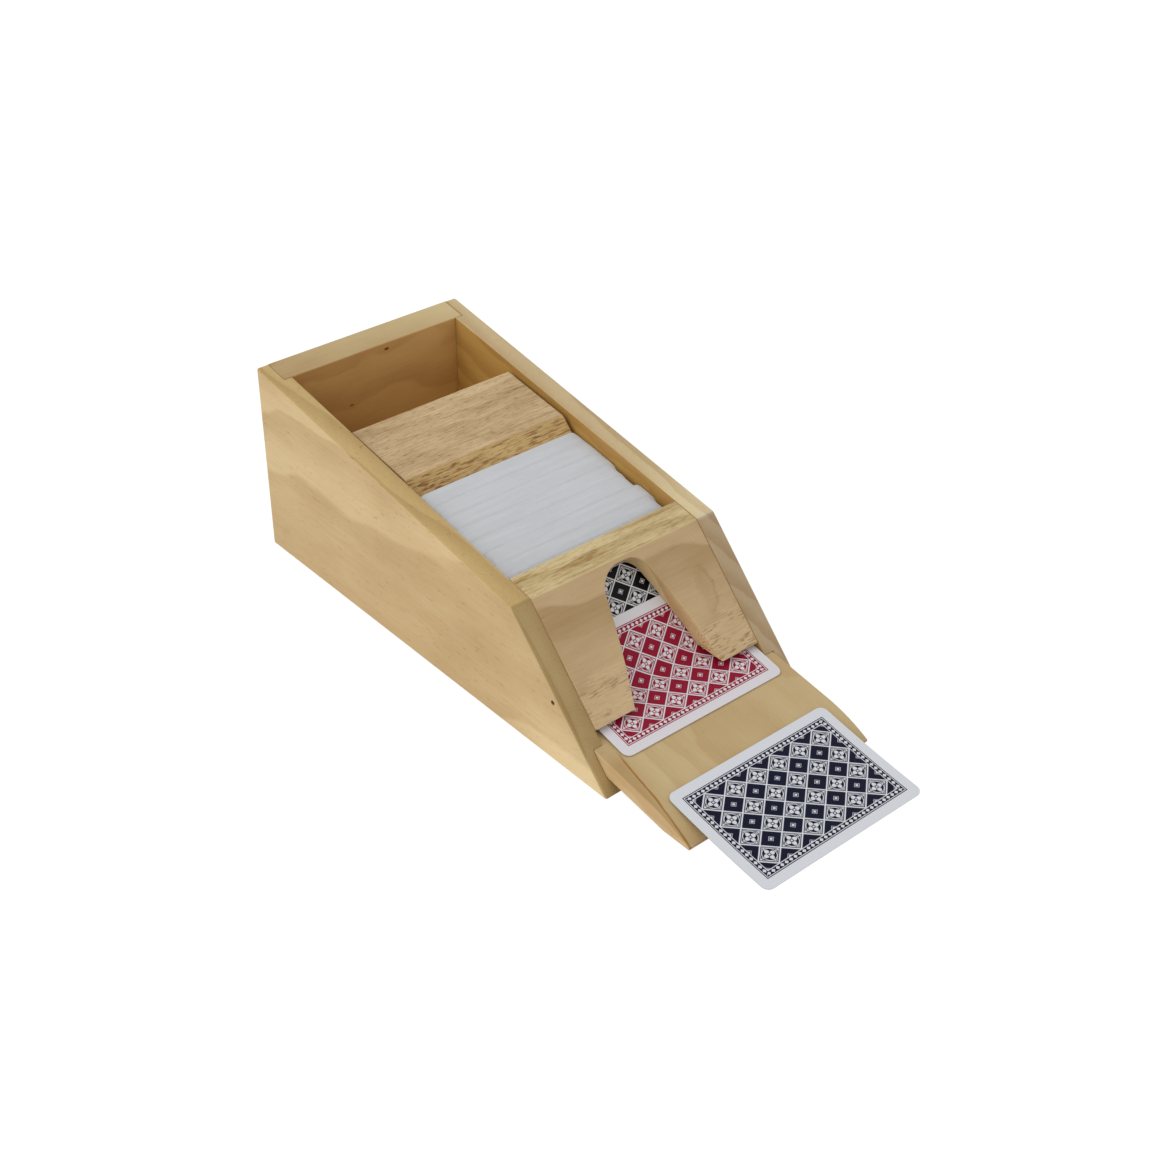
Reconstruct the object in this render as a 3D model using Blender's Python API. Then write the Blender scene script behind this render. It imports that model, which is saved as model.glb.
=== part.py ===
"""Wooden card dealing shoe with its cards.

Lengths are in metres and +Z is up. The shoe deals towards -Y, and +X is on the right of
someone who looks along +Y. The origin is the middle of the base of the box around
everything, with one dealt card lying over the end of the ramp.

Two slanted frames carry most pieces. The floor frame runs up the floor board's top, from
over the front foot of the sides. The lean frame runs up the outer face of the front plate
from the table: a rise is measured along that face and a depth square to it, inwards.
"""

import math

import bmesh
import bpy
from mathutils import Matrix, Vector

# Playing cards, bridge size
CARD_LONG = 0.088
CARD_SHORT = 0.057
CARD_THICKNESS = 0.0003
CARD_CORNER_RADIUS = 0.0035

# Fits
SEAT_GAP = 0.0003
WELL_PLAY = 0.002
CUT_OVERRUN = 0.003

# Case
SIDE_THICKNESS = 0.010
REAR_HEIGHT = 0.0939
KNEE_RUN = 0.181
TOP_SLOPE = math.radians(10.26)
LEAN = math.radians(46.14)
BACK_THICKNESS = 0.0136
RABBET_LIP = 0.0057
ARRIS_RADIUS = 0.0009
INNER_ARRIS_SHARE = 0.45

# Floor board, whose front end is the ramp
FLOOR_TILT = math.radians(9.09)
FLOOR_HEIGHT_AT_FOOT = 0.0119
FLOOR_THICKNESS = 0.0074
GROOVE_DEPTH = 0.005
RAMP_FLAT_REACH = 0.0185
RAMP_NOSE_RADIUS = 0.074
RAMP_TIP_THICKNESS = 0.001

# Front plate and the arch for the dealer's finger
PLATE_THICKNESS = 0.0082
SLOT_HEIGHT = 0.0039
PLATE_ARRIS_RADIUS = 0.0005
ARCH_FOOT_HALF_WIDTH = 0.0246
ARCH_LEFT_WAIST_WIDTH = 0.017
ARCH_LEFT_WAIST_RISE = 0.023
ARCH_LEFT_CROWN_RADIUS = 0.0129
ARCH_RIGHT_WAIST_WIDTH = 0.0206
ARCH_RIGHT_WAIST_RISE = 0.0262
ARCH_RIGHT_CROWN_RADIUS = 0.009
ARCH_CROWN_FLAT = 0.0041
ARCH_CROWN_WOOD = 0.0023

# Brads through the sides into the plate's ends
BRAD_HEIGHT = 0.0292
BRAD_DEPTH = 0.0034
BRAD_LENGTH = 0.020
BRAD_SHANK_RADIUS = 0.0006
BRAD_HEAD_RADIUS = 0.0008
BRAD_HEAD_LENGTH = 0.0008
BRAD_PUNCH_DEPTH = 0.0004

# Follower block, a length of plank with a slanted nose
FOLLOWER_THICKNESS = 0.039
FOLLOWER_LENGTH = 0.092
FOLLOWER_NOSE_RADIUS = 0.006
FOLLOWER_ARRIS_RADIUS = 0.0006

# Cards in the shoe, on the ramp and on the table
PACKET_THICKNESS = 0.005
PACKET_SHIFT_SHARES = (0.05, 0.0, 0.95, -0.35, -0.05, 0.85, 1.0, 0.9)
NEXT_CARD_SHIFT = 0.0004
DRAWN_SHOW = 0.0164
DRAWN_SHIFT = 0.00115
DRAWN_TURN = math.radians(0.5)
DRAWN_LIFT = math.radians(2.5)
DRAWN_BEND_RADIUS = 0.012
DEALT_SHIFT = 0.0003
DEALT_TURN = math.radians(0.23)
DEALT_GAP = 0.00043
DEALT_BOW_RADIUS = 0.58

# Facets
ARRIS_SEGMENTS = 2
CORNER_STEPS = 5
CROWN_STEPS = 7
FLARE_STEPS = 7
BEND_STEPS = 8
BOW_STEPS = 8
NOSE_STEPS = 7
RAMP_STEPS = 8
BRAD_SIDES = 16

# Derived sizes
CARD_HALF = CARD_LONG / 2
WELL_HALF = CARD_HALF + WELL_PLAY
SHOE_HALF = WELL_HALF + SIDE_THICKNESS
PACKET_SHIFT = WELL_PLAY - SEAT_GAP
KNEE_HEIGHT = REAR_HEIGHT - KNEE_RUN * math.tan(TOP_SLOPE)
FOOT_RUN = KNEE_RUN + KNEE_HEIGHT / math.tan(LEAN)
CARD_ANGLE = LEAN - FLOOR_TILT
DEALT_REACH = (FLOOR_HEIGHT_AT_FOOT + DEALT_GAP / math.cos(FLOOR_TILT)) / math.tan(FLOOR_TILT)
OVERALL_LENGTH = FOOT_RUN + DEALT_REACH
REAR_Y = OVERALL_LENGTH / 2
FOOT_Y = REAR_Y - FOOT_RUN
KNEE_Y = REAR_Y - KNEE_RUN

# Colours, as the photograph's display values
PINE = (205, 174, 124)
PINE_SHADE = (196, 163, 112)
RUBBERWOOD = (196, 158, 112)
CARD_WHITE = (212, 214, 218)
CARD_BLACK = (38, 38, 46)
CARD_RED = (150, 40, 66)
CARD_NAVY = (32, 40, 70)
STEEL_DARK = (92, 82, 72)


def clear_scene():
    for item in list(bpy.data.objects):
        bpy.data.objects.remove(item, do_unlink=True)


def linear(value):
    share = value / 255
    if share <= 0.04045:
        return share / 12.92
    return ((share + 0.055) / 1.055) ** 2.4


def paint(item, rgb, roughness, metallic=0.0):
    material = bpy.data.materials.new(item.name + "_material")
    material.use_nodes = True
    shader = material.node_tree.nodes["Principled BSDF"]
    shader.inputs["Base Color"].default_value = (*(linear(value) for value in rgb), 1.0)
    shader.inputs["Roughness"].default_value = roughness
    shader.inputs["Metallic"].default_value = metallic
    item.data.materials.append(material)


def add_object(name, mesh_builder, location=(0, 0, 0), turn=0.0):
    """Make an object from a bmesh; turn is about X, so it tips the piece fore and aft."""
    bmesh.ops.recalc_face_normals(mesh_builder, faces=mesh_builder.faces[:])
    mesh = bpy.data.meshes.new(name)
    mesh_builder.to_mesh(mesh)
    mesh_builder.free()
    item = bpy.data.objects.new(name, mesh)
    bpy.context.collection.objects.link(item)
    item.location = location
    item.rotation_euler = (turn, 0, 0)
    return item


def extruded_outline(points, path):
    """A closed solid from a flat outline, swept along a straight path."""
    builder = bmesh.new()
    corners = [builder.verts.new(point) for point in points]
    face = builder.faces.new(corners)
    swept = bmesh.ops.extrude_face_region(builder, geom=[face])
    moved = [part for part in swept["geom"] if isinstance(part, bmesh.types.BMVert)]
    bmesh.ops.translate(builder, verts=moved, vec=path)
    return builder


def board_across(outline, left, right):
    """A board whose side view is an outline of (y, z) points, from x = left to x = right."""
    points = [(left, y, z) for y, z in outline]
    return extruded_outline(points, (right - left, 0, 0))


def bevel(item, width, limit="ANGLE"):
    edges = item.modifiers.new("Arris", "BEVEL")
    edges.width = width
    edges.segments = ARRIS_SEGMENTS
    edges.limit_method = limit
    edges.angle_limit = math.radians(30)
    edges.use_clamp_overlap = True
    return edges


def cut(item, cutter):
    cutter.hide_render = True
    cutter.display_type = "WIRE"
    trench = item.modifiers.new("Cut by " + cutter.name, "BOOLEAN")
    trench.operation = "DIFFERENCE"
    trench.solver = "EXACT"
    trench.object = cutter


def floor_point(along, above):
    """(y, z) of a place along the floor board's top and square above it."""
    y = FOOT_Y + along * math.cos(FLOOR_TILT) - above * math.sin(FLOOR_TILT)
    z = FLOOR_HEIGHT_AT_FOOT + along * math.sin(FLOOR_TILT) + above * math.cos(FLOOR_TILT)
    return y, z


def floor_height(y):
    return FLOOR_HEIGHT_AT_FOOT + (y - FOOT_Y) * math.tan(FLOOR_TILT)


def lean_point(rise, depth):
    """(y, z) of a place up the plate's outer face and square behind it."""
    y = FOOT_Y + rise * math.cos(LEAN) + depth * math.sin(LEAN)
    z = rise * math.sin(LEAN) - depth * math.cos(LEAN)
    return y, z


def rise_on_floor(depth, above):
    """The rise at which a line at this depth comes down to a height above the floor board."""
    base = above + FLOOR_HEIGHT_AT_FOOT * math.cos(FLOOR_TILT)
    return (base + depth * math.cos(CARD_ANGLE)) / math.sin(CARD_ANGLE)


def rise_on_top(depth):
    """The rise at which a line at this depth reaches the slope of the side tops."""
    top_angle = LEAN - TOP_SLOPE
    knee_rise = KNEE_HEIGHT / math.sin(LEAN)
    return knee_rise + depth / math.tan(top_angle)


def top_height(y):
    return REAR_HEIGHT - (REAR_Y - y) * math.tan(TOP_SLOPE)


# Case pieces


def side_outline():
    return [
        (REAR_Y, 0),
        (REAR_Y, REAR_HEIGHT),
        (KNEE_Y, KNEE_HEIGHT),
        (FOOT_Y, 0),
    ]


def weigh_arrises(builder, inner_x):
    """Full rounding on the outer edges, a finer one where the side faces the well."""
    layer = builder.edges.layers.float.new("bevel_weight_edge")
    for edge in builder.edges:
        inside = all(abs(vert.co.x - inner_x) < SEAT_GAP for vert in edge.verts)
        edge[layer] = INNER_ARRIS_SHARE if inside else 1.0


def groove_cutter(name, inner_x, outward):
    """The space of the floor board's edge in a side, with its fit all round."""
    front = FOOT_Y - CUT_OVERRUN
    rear = REAR_Y - BACK_THICKNESS - SEAT_GAP + CUT_OVERRUN
    below = (FLOOR_THICKNESS + SEAT_GAP) / math.cos(FLOOR_TILT)
    above = SEAT_GAP / math.cos(FLOOR_TILT)
    outline = [
        (front, floor_height(front) + above),
        (rear, floor_height(rear) + above),
        (rear, floor_height(rear) - below),
        (front, floor_height(front) - below),
    ]
    near = inner_x - outward * CUT_OVERRUN
    far = inner_x + outward * GROOVE_DEPTH
    return add_object(name, board_across(outline, near, far))


def rabbet_cutter(name, inner_x, outward):
    """The step at the rear end of a side that takes the back panel's edge."""
    front = REAR_Y - BACK_THICKNESS
    rear = REAR_Y + CUT_OVERRUN
    outline = [
        (front, -CUT_OVERRUN),
        (front, REAR_HEIGHT + CUT_OVERRUN),
        (rear, REAR_HEIGHT + CUT_OVERRUN),
        (rear, -CUT_OVERRUN),
    ]
    near = inner_x - outward * CUT_OVERRUN
    far = outward * (SHOE_HALF - RABBET_LIP)
    return add_object(name, board_across(outline, near, far))


def brad_place():
    """(y, z) of a brad, a little in front of the middle of the plate's thickness."""
    rise = (BRAD_HEIGHT + BRAD_DEPTH * math.cos(LEAN)) / math.sin(LEAN)
    return lean_point(rise, BRAD_DEPTH)


def brad_profile(growth):
    """Radii and lengths of a brad from its head inwards, grown all round for its hole."""
    head = BRAD_HEAD_RADIUS + growth
    shank = BRAD_SHANK_RADIUS + growth
    start = SHOE_HALF - BRAD_PUNCH_DEPTH
    shoulder = start - BRAD_HEAD_LENGTH - growth
    end = start - BRAD_LENGTH - growth
    return start, shoulder, end, head, shank


def turned_brad(name, outward, growth, mouth):
    """A brad, or its hole, turned about an axis along X."""
    start, shoulder, end, head, shank = brad_profile(growth)
    stations = [(mouth or start, head), (shoulder, head), (shoulder, shank), (end, shank)]
    builder = bmesh.new()
    rings = []
    for place, radius in stations:
        ring = []
        for step in range(BRAD_SIDES):
            angle = 2 * math.pi * step / BRAD_SIDES
            offset = (outward * place, radius * math.cos(angle), radius * math.sin(angle))
            ring.append(builder.verts.new(offset))
        rings.append(ring)
    for first, second in zip(rings, rings[1:]):
        for step in range(BRAD_SIDES):
            after = (step + 1) % BRAD_SIDES
            builder.faces.new((first[step], first[after], second[after], second[step]))
    builder.faces.new(rings[0])
    builder.faces.new(rings[-1])
    y, z = brad_place()
    return add_object(name, builder, (0, y, z))


def make_side(name, outward, brad_hole):
    """A side board: rounded arrises, then the groove, the rabbet and the brad's hole."""
    inner_x = outward * WELL_HALF
    builder = board_across(side_outline(), inner_x, outward * SHOE_HALF)
    weigh_arrises(builder, inner_x)
    side = add_object(name, builder)
    bevel(side, ARRIS_RADIUS, "WEIGHT")
    cut(side, groove_cutter(name + "_groove", inner_x, outward))
    cut(side, rabbet_cutter(name + "_rabbet", inner_x, outward))
    cut(side, brad_hole)
    paint(side, PINE, 0.62)
    return side


def make_back_panel():
    """The back board, between the lips of the sides, its top planed to their slope."""
    front = REAR_Y - BACK_THICKNESS + SEAT_GAP
    outline = [
        (REAR_Y, 0),
        (REAR_Y, REAR_HEIGHT),
        (front, top_height(front)),
        (front, 0),
    ]
    half = SHOE_HALF - RABBET_LIP - SEAT_GAP
    back = add_object("back_panel", board_across(outline, -half, half))
    bevel(back, PLATE_ARRIS_RADIUS)
    paint(back, PINE_SHADE, 0.64)


def ramp_nose():
    """(y, z) points down the ramp's rounded nose, from its straight part to its thin tip."""
    start_y = FOOT_Y - RAMP_FLAT_REACH
    start_z = floor_height(start_y)
    fall = (start_z - RAMP_TIP_THICKNESS) / RAMP_NOSE_RADIUS
    end = math.acos(math.cos(FLOOR_TILT) - fall)
    points = []
    for step in range(RAMP_STEPS + 1):
        angle = FLOOR_TILT + (end - FLOOR_TILT) * step / RAMP_STEPS
        y = start_y - RAMP_NOSE_RADIUS * (math.sin(angle) - math.sin(FLOOR_TILT))
        z = start_z - RAMP_NOSE_RADIUS * (math.cos(FLOOR_TILT) - math.cos(angle))
        points.append((y, z))
    return points


def make_floor_board():
    """One board: the well's floor, then the ramp, planed flat where it lies on the table."""
    nose = ramp_nose()
    tip = nose[-1][0]
    rear = REAR_Y - BACK_THICKNESS - SEAT_GAP
    below = FLOOR_THICKNESS / math.cos(FLOOR_TILT)
    outline = [
        (rear, floor_height(rear)),
        *nose,
        (tip, floor_height(tip) - below),
        (rear, floor_height(rear) - below),
    ]
    half = WELL_HALF + GROOVE_DEPTH - SEAT_GAP
    builder = board_across(outline, -half, half)
    everything = builder.verts[:] + builder.edges[:] + builder.faces[:]
    planed = bmesh.ops.bisect_plane(
        builder, geom=everything, plane_co=(0, 0, 0), plane_no=(0, 0, -1), clear_outer=True
    )
    rim = [part for part in planed["geom_cut"] if isinstance(part, bmesh.types.BMEdge)]
    bmesh.ops.holes_fill(builder, edges=rim)
    board = add_object("floor_board", builder)
    bevel(board, ARRIS_RADIUS * INNER_ARRIS_SHARE)
    paint(board, PINE, 0.6)


def crown_touch(waist, centre, radius):
    """Where a straight edge from the arch's waist touches the round of its crown."""
    away = waist - centre
    return math.atan2(away.y, away.x) + math.acos(radius / away.length)


def arch_half(start, waist, centre, radius):
    """One half of the arch, from its foot to its crown, as (width, rise) points."""
    touch = crown_touch(waist, centre, radius)
    spring = centre + Vector((math.cos(touch), math.sin(touch))) * radius
    points = [Vector((start.x, start.y - PLATE_THICKNESS - CUT_OVERRUN))]
    for step in range(FLARE_STEPS):
        share = step / FLARE_STEPS
        near = start.lerp(waist, share)
        far = waist.lerp(spring, share)
        points.append(near.lerp(far, share))
    for step in range(CROWN_STEPS + 1):
        angle = touch + (math.pi / 2 - touch) * step / CROWN_STEPS
        points.append(centre + Vector((math.cos(angle), math.sin(angle))) * radius)
    return points


def make_arch_cutter(foot_rise, top_rise):
    """The arch, sawn by hand: fuller on its right, with a short flat in its crown."""
    crown_rise = top_rise - ARCH_CROWN_WOOD
    foot = Vector((ARCH_FOOT_HALF_WIDTH, foot_rise))
    right = arch_half(
        foot,
        Vector((ARCH_RIGHT_WAIST_WIDTH, foot_rise + ARCH_RIGHT_WAIST_RISE)),
        Vector((ARCH_CROWN_FLAT, crown_rise - ARCH_RIGHT_CROWN_RADIUS)),
        ARCH_RIGHT_CROWN_RADIUS,
    )
    left = arch_half(
        foot,
        Vector((ARCH_LEFT_WAIST_WIDTH, foot_rise + ARCH_LEFT_WAIST_RISE)),
        Vector((0, crown_rise - ARCH_LEFT_CROWN_RADIUS)),
        ARCH_LEFT_CROWN_RADIUS,
    )
    outline = [(point.x, point.y, CUT_OVERRUN) for point in right]
    outline += [(-point.x, point.y, CUT_OVERRUN) for point in reversed(left)]
    depth = PLATE_THICKNESS + 2 * CUT_OVERRUN
    builder = extruded_outline(outline, (0, 0, -depth))
    return add_object("arch_cutter", builder, (0, FOOT_Y, 0), LEAN)


def make_front_plate(brad_holes):
    """The leaning plate, mitred to the side tops, its foot parallel to the floor board."""
    above = SLOT_HEIGHT * math.cos(FLOOR_TILT)
    foot_rise = rise_on_floor(0, above)
    top_rise = rise_on_top(0)
    outline = [
        (foot_rise, 0),
        (top_rise, 0),
        (rise_on_top(PLATE_THICKNESS), -PLATE_THICKNESS),
        (rise_on_floor(PLATE_THICKNESS, above), -PLATE_THICKNESS),
    ]
    half = WELL_HALF - SEAT_GAP
    builder = board_across(outline, -half, half)
    plate = add_object("front_plate", builder, (0, FOOT_Y, 0), LEAN)
    cut(plate, make_arch_cutter(foot_rise, top_rise))
    bevel(plate, PLATE_ARRIS_RADIUS)
    for hole in brad_holes:
        cut(plate, hole)
    paint(plate, PINE, 0.6)


def make_brads_and_sides():
    holes = []
    for name, outward in (("left", -1), ("right", 1)):
        hole = turned_brad("brad_hole_" + name, outward, SEAT_GAP, SHOE_HALF + CUT_OVERRUN)
        holes.append(hole)
        make_side(name + "_side_panel", outward, hole)
        brad = turned_brad("plate_brad_" + name, outward, 0, None)
        brad.data.shade_smooth()
        brad.data.set_sharp_from_angle(angle=math.radians(40))
        paint(brad, STEEL_DARK, 0.5, 0.8)
    return holes


# Follower block


def follower_depth():
    """Depth of the follower's nose behind the plate's outer face."""
    return stack_depth() + SEAT_GAP


def make_follower():
    """A plank's end cut to the cards' angle, its top arris worn round."""
    y, z = lean_point(rise_on_floor(follower_depth(), SEAT_GAP), follower_depth())
    nose_top = FOLLOWER_THICKNESS / math.tan(CARD_ANGLE)
    setback = FOLLOWER_NOSE_RADIUS * math.tan(CARD_ANGLE / 2)
    centre = (nose_top + setback, FOLLOWER_THICKNESS - FOLLOWER_NOSE_RADIUS)
    outline = [(0, 0), (FOLLOWER_LENGTH, 0), (FOLLOWER_LENGTH, FOLLOWER_THICKNESS)]
    for step in range(NOSE_STEPS + 1):
        angle = math.pi / 2 + CARD_ANGLE * step / NOSE_STEPS
        along = centre[0] + FOLLOWER_NOSE_RADIUS * math.cos(angle)
        above = centre[1] + FOLLOWER_NOSE_RADIUS * math.sin(angle)
        outline.append((along, above))
    builder = board_across(outline, -CARD_HALF, CARD_HALF)
    block = add_object("follower_block", builder, (0, y, z), FLOOR_TILT)
    bevel(block, FOLLOWER_ARRIS_RADIUS)
    paint(block, RUBBERWOOD, 0.66)


# Cards


def card_outline():
    """A card's outline with round corners, its lower long edge on y = 0."""
    inset_x = CARD_HALF - CARD_CORNER_RADIUS
    inset_y = CARD_SHORT / 2 - CARD_CORNER_RADIUS
    points = []
    for quarter, (side, end) in enumerate(((1, 1), (-1, 1), (-1, -1), (1, -1))):
        for step in range(CORNER_STEPS + 1):
            angle = math.pi / 2 * (quarter + step / CORNER_STEPS)
            x = side * inset_x + CARD_CORNER_RADIUS * math.cos(angle)
            y = end * inset_y + CARD_CORNER_RADIUS * math.sin(angle)
            points.append((x, CARD_SHORT / 2 + y, 0))
    return points


def next_card_depth():
    """Depth of the first card in the stack, behind the plate and the drawn card."""
    return PLATE_THICKNESS + CARD_THICKNESS + 2 * SEAT_GAP


def packet_depth(number):
    first = next_card_depth() + CARD_THICKNESS + SEAT_GAP
    return first + number * (PACKET_THICKNESS + SEAT_GAP)


def stack_depth():
    return packet_depth(len(PACKET_SHIFT_SHARES) - 1) + PACKET_THICKNESS


def make_packets():
    """Cards in packets: each card stands on the sloping floor, so a packet is sheared."""
    slide = PACKET_THICKNESS / math.sin(CARD_ANGLE)
    path = (0, slide * math.cos(CARD_ANGLE), -PACKET_THICKNESS)
    for number, share in enumerate(PACKET_SHIFT_SHARES):
        depth = packet_depth(number)
        y, z = lean_point(rise_on_floor(depth, SEAT_GAP), depth)
        builder = extruded_outline(card_outline(), path)
        name = "card_packet_" + str(number + 1)
        packet = add_object(name, builder, (share * PACKET_SHIFT, y, z), LEAN)
        paint(packet, CARD_WHITE, 0.6)


def flat_card(name, location, turn, rgb):
    """One card, its thickness above the plane that it is placed on."""
    builder = extruded_outline(card_outline(), (0, 0, CARD_THICKNESS))
    card = add_object(name, builder, location, turn)
    paint(card, rgb, 0.45)


def make_next_card():
    back = next_card_depth() + CARD_THICKNESS
    y, z = lean_point(rise_on_floor(back, SEAT_GAP), back)
    flat_card("next_card", (NEXT_CARD_SHIFT, y, z), LEAN, CARD_BLACK)


def bent_card(name, twist, folds, path, location, rgb):
    """A card turned in its own plane, folded a little at each distance and laid on a path.

    The path gives (along, above) in the floor frame for a distance from the near edge.
    """
    builder = bmesh.new()
    twisting = Matrix.Rotation(-twist, 3, "Z")
    builder.faces.new([builder.verts.new(twisting @ Vector(point)) for point in card_outline()])
    for distance in folds:
        everything = builder.verts[:] + builder.edges[:] + builder.faces[:]
        bmesh.ops.bisect_plane(
            builder, geom=everything, plane_co=(0, distance, 0), plane_no=(0, 1, 0)
        )
    for vert in builder.verts:
        along, above = path(vert.co.y)
        vert.co = (vert.co.x, along, above)
    bmesh.ops.triangulate(builder, faces=builder.faces[:])
    card = add_object(name, builder, location, FLOOR_TILT)
    sheet = card.modifiers.new("Card stock", "SOLIDIFY")
    sheet.thickness = CARD_THICKNESS
    sheet.offset = 0
    sheet.use_even_offset = True
    paint(card, rgb, 0.45)


def bow_point(distance):
    """A place on the dealt card's shallow arc, whose ends lie on the floor frame's axis."""
    half = CARD_SHORT / 2 / DEALT_BOW_RADIUS
    angle = distance / DEALT_BOW_RADIUS - half
    along = DEALT_BOW_RADIUS * (math.sin(angle) + math.sin(half))
    above = DEALT_BOW_RADIUS * (math.cos(half) - math.cos(angle))
    return along, above


def make_dealt_card():
    """It lies along the ramp, slightly bowed, with its near edge on the table."""
    folds = [CARD_SHORT * step / BOW_STEPS for step in range(1, BOW_STEPS)]
    low_corner = CARD_HALF * math.sin(DEALT_TURN) * math.sin(FLOOR_TILT)
    place = (DEALT_SHIFT, FOOT_Y - DEALT_REACH, CARD_THICKNESS / 2 + low_corner)
    bent_card("dealt_card", DEALT_TURN, folds, bow_point, place, CARD_NAVY)


def along_floor(y, z):
    """How far along the floor board's top a place lies from over the sides' foot."""
    run = (y - FOOT_Y) * math.cos(FLOOR_TILT)
    return run + (z - FLOOR_HEIGHT_AT_FOOT) * math.sin(FLOOR_TILT)


def drawn_path():
    """The drawn card's front, its straight stretch and the length of its bend."""
    middle = SEAT_GAP + CARD_THICKNESS / 2
    depth = PLATE_THICKNESS + middle
    corner = along_floor(*lean_point(rise_on_floor(depth, middle), depth))
    slot_edge = rise_on_floor(0, SLOT_HEIGHT * math.cos(FLOOR_TILT))
    front = along_floor(*lean_point(slot_edge, 0)) - DRAWN_SHOW
    bend_run = DRAWN_BEND_RADIUS * (math.sin(CARD_ANGLE) - math.sin(DRAWN_LIFT))
    bend_climb = DRAWN_BEND_RADIUS * (math.cos(DRAWN_LIFT) - math.cos(CARD_ANGLE))
    left_over = corner - front - bend_run + bend_climb / math.tan(CARD_ANGLE)
    gain = math.cos(DRAWN_LIFT) - math.sin(DRAWN_LIFT) / math.tan(CARD_ANGLE)
    return front, left_over / gain, DRAWN_BEND_RADIUS * (CARD_ANGLE - DRAWN_LIFT)


def drawn_point(distance):
    """A place on the drawn card: straight off the ramp, then bent up behind the plate."""
    front, straight, bend = drawn_path()
    on_ramp = min(distance, straight)
    angle = DRAWN_LIFT + min(max(distance - straight, 0), bend) / DRAWN_BEND_RADIUS
    beyond = max(distance - straight - bend, 0)
    along = on_ramp * math.cos(DRAWN_LIFT) + beyond * math.cos(CARD_ANGLE)
    along += DRAWN_BEND_RADIUS * (math.sin(angle) - math.sin(DRAWN_LIFT))
    above = on_ramp * math.sin(DRAWN_LIFT) + beyond * math.sin(CARD_ANGLE)
    above += DRAWN_BEND_RADIUS * (math.cos(DRAWN_LIFT) - math.cos(angle))
    return along, above


def make_drawn_card():
    """The card half out of the slot."""
    front, straight, bend = drawn_path()
    folds = [straight + bend * step / BEND_STEPS for step in range(BEND_STEPS + 1)]
    y, z = floor_point(front, SEAT_GAP + CARD_THICKNESS / 2)
    bent_card("drawn_card", DRAWN_TURN, folds, drawn_point, (DRAWN_SHIFT, y, z), CARD_RED)


def main():
    clear_scene()
    holes = make_brads_and_sides()
    make_back_panel()
    make_floor_board()
    make_front_plate(holes)
    make_follower()
    make_packets()
    make_next_card()
    make_drawn_card()
    make_dealt_card()


main()
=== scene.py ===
"""Looks of the wooden card dealing shoe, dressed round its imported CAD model.

Lengths are in metres and +Z is up. The shoe deals towards -Y. Material patterns work in
millimetres, because grain, pores and print are small.
"""

import math
import random

import bmesh
import bpy
from mathutils import Matrix, Vector


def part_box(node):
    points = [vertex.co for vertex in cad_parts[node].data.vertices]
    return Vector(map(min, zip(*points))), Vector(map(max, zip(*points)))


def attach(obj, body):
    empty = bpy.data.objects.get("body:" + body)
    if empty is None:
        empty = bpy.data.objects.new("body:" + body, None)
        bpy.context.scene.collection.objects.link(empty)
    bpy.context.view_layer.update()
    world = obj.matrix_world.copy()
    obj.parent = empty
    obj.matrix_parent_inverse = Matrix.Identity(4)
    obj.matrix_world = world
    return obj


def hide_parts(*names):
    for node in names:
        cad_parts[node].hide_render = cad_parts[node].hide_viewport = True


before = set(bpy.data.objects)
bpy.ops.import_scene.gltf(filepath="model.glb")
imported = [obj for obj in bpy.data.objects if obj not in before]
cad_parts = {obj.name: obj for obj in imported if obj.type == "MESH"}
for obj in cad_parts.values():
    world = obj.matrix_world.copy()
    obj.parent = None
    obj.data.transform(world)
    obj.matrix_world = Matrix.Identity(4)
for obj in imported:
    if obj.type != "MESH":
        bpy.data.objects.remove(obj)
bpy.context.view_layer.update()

MM = 0.001

# Sizes that the CAD model has too
CARD_LONG = 0.088
CARD_SHORT = 0.057
CARD_THICKNESS = 0.0003
CARD_CORNER_RADIUS = 0.0035
SEAT_GAP = 0.0003
LEAN = math.radians(46.14)
FLOOR_TILT = math.radians(9.09)
TOP_SLOPE = math.radians(10.26)
CARD_ANGLE = LEAN - FLOOR_TILT
DRAWN_TURN = math.radians(0.5)
DRAWN_LIFT = math.radians(2.5)
DRAWN_BEND_RADIUS = 0.012
DEALT_TURN = math.radians(0.23)
DEALT_BOW_RADIUS = 0.58

# The photograph's camera
PHOTO_WIDTH = 1170
FOCAL_PX = 1818.4
CAMERA_YAW = math.radians(-40.62)
CAMERA_PITCH = math.radians(34.42)
CAMERA_ROLL = math.radians(0.44)
CAMERA_DISTANCE = 0.78174
CAMERA_TARGET = Vector((0, 0.00842, 0.04))
CENTRE_SHIFT_PX = (17.59, -17.89)
SENSOR_WIDTH = 36

# Directions that faces look in, and how nearly a face has to look that way
UP_SLOPE = (0, -0.18, 0.98)
UP_FRONT = (0, -0.72, 0.69)
TO_FRONT = (0, -1, 0)
TO_LEFT = (-1, 0, 0)
TO_RIGHT = (1, 0, 0)
FACING_RANGE = (0.8, 0.93)


# Node trees as arithmetic


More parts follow.
